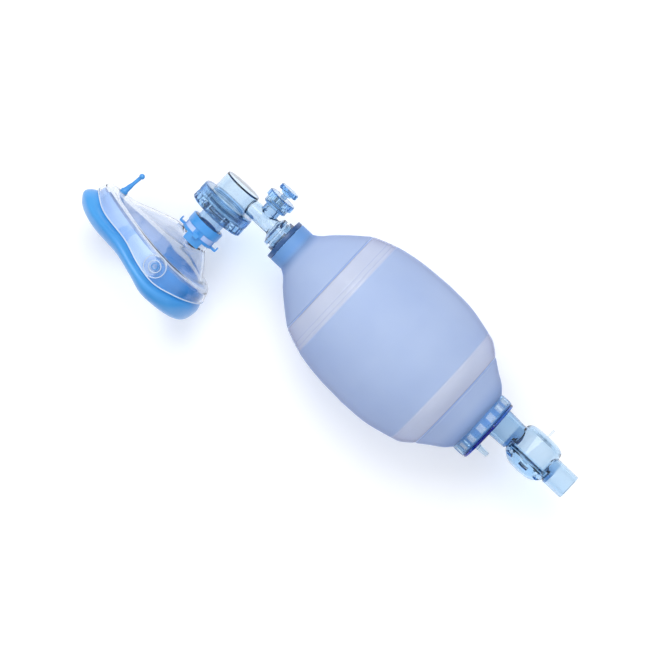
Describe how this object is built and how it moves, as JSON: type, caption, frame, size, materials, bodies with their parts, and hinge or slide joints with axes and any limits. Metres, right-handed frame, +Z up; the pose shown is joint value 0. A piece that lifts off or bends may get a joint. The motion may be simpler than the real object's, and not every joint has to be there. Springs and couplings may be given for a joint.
{
  "type": "bag valve mask",
  "caption": "Adult hand resuscitator: frosted squeeze bag, swivel elbow valve with pressure release, inflatable face mask and reservoir valve tail.",
  "frame": {"origin": "centre of the bounding box at its base, on the surface that the bag and the mask cushion lie on", "axes": "+X along the bag axis from the elbow valve to the reservoir tail, +Y away from the mask, +Z up with the object lying on its side"},
  "size_m": [0.45, 0.1746, 0.1284],
  "materials": {
    "frosted_silicone": "milky translucent blue silicone, fine frosted surface with two glossy bands",
    "navy_plastic": "dark navy ring, smooth",
    "clear_polycarbonate": "water-clear moulding with a faint blue tint",
    "tinted_polycarbonate": "blue-tinted translucent moulding",
    "blue_vinyl": "soft saturated blue vinyl, satin",
    "valve_silicone": "thin pale silicone, matt",
    "seal_rubber": "black seal rubber, matt",
    "spring_steel": "drawn stainless wire"
  },
  "bodies": {
    "bag": {"bag_shell": "frosted_silicone", "neck_ring": "navy_plastic", "swivel_socket": "clear_polycarbonate", "clamp_ring": "tinted_polycarbonate", "mouth_gasket": "seal_rubber", "tail_plate": "tinted_polycarbonate", "intake_seat": "clear_polycarbonate", "oxygen_nipple": "clear_polycarbonate", "reservoir_chamber": "clear_polycarbonate", "vent_seat": "clear_polycarbonate", "vent_cap": "tinted_polycarbonate"},
    "intake_valve": {"intake_disc": "valve_silicone"},
    "air_inlet_valve": {"air_disc": "valve_silicone"},
    "relief_valve": {"relief_disc": "valve_silicone"},
    "valve": {"valve_housing": "clear_polycarbonate", "swivel_seal": "seal_rubber", "ring_nut": "tinted_polycarbonate", "lip_valve": "valve_silicone", "patient_port": "clear_polycarbonate", "release_cap": "tinted_polycarbonate", "release_spring": "spring_steel"},
    "exhaust_valve": {"exhaust_flap": "valve_silicone"},
    "pressure_release": {"release_plunger": "clear_polycarbonate", "release_knob": "tinted_polycarbonate", "release_seal": "seal_rubber"},
    "mask": {"mask_dome": "clear_polycarbonate", "mask_cushion": "blue_vinyl", "hook_ring": "blue_vinyl", "fill_stem": "blue_vinyl", "fill_plug": "blue_vinyl"}
  },
  "joints": [
    {"name": "valve_swivel", "type": "hinge", "parent": "bag", "child": "valve", "pos_m": [-0.07625, 0.02315, 0.06419], "axis": [1, 0, 0], "continuous": true},
    {"name": "mask_swivel", "type": "hinge", "parent": "valve", "child": "mask", "pos_m": [-0.13285, 0.02315, 0.06419], "axis": [0, -0.9874, -0.1585], "continuous": true},
    {"name": "release_lift", "type": "slide", "parent": "valve", "child": "pressure_release", "axis": [0, 0.9874, 0.1585], "range_m": [0, 0.002], "stiffness_N_per_m": 250, "springref_m": -0.002, "deforming": ["release_spring"]},
    {"name": "exhaust_flap_lift", "type": "slide", "parent": "valve", "child": "exhaust_valve", "axis": [0, -0.9874, -0.1585], "range_m": [0, 0.0015], "stiffness_N_per_m": 60, "springref_m": -0.001},
    {"name": "intake_disc_lift", "type": "slide", "parent": "bag", "child": "intake_valve", "axis": [-1, 0, 0], "range_m": [0, 0.002], "stiffness_N_per_m": 60, "springref_m": -0.001},
    {"name": "air_disc_drop", "type": "slide", "parent": "bag", "child": "air_inlet_valve", "axis": [0, -1, 0], "range_m": [0, 0.0016], "stiffness_N_per_m": 60, "springref_m": -0.001},
    {"name": "relief_disc_lift", "type": "slide", "parent": "bag", "child": "relief_valve", "axis": [0, -1, 0], "range_m": [0, 0.002], "stiffness_N_per_m": 60, "springref_m": -0.001}
  ]
}
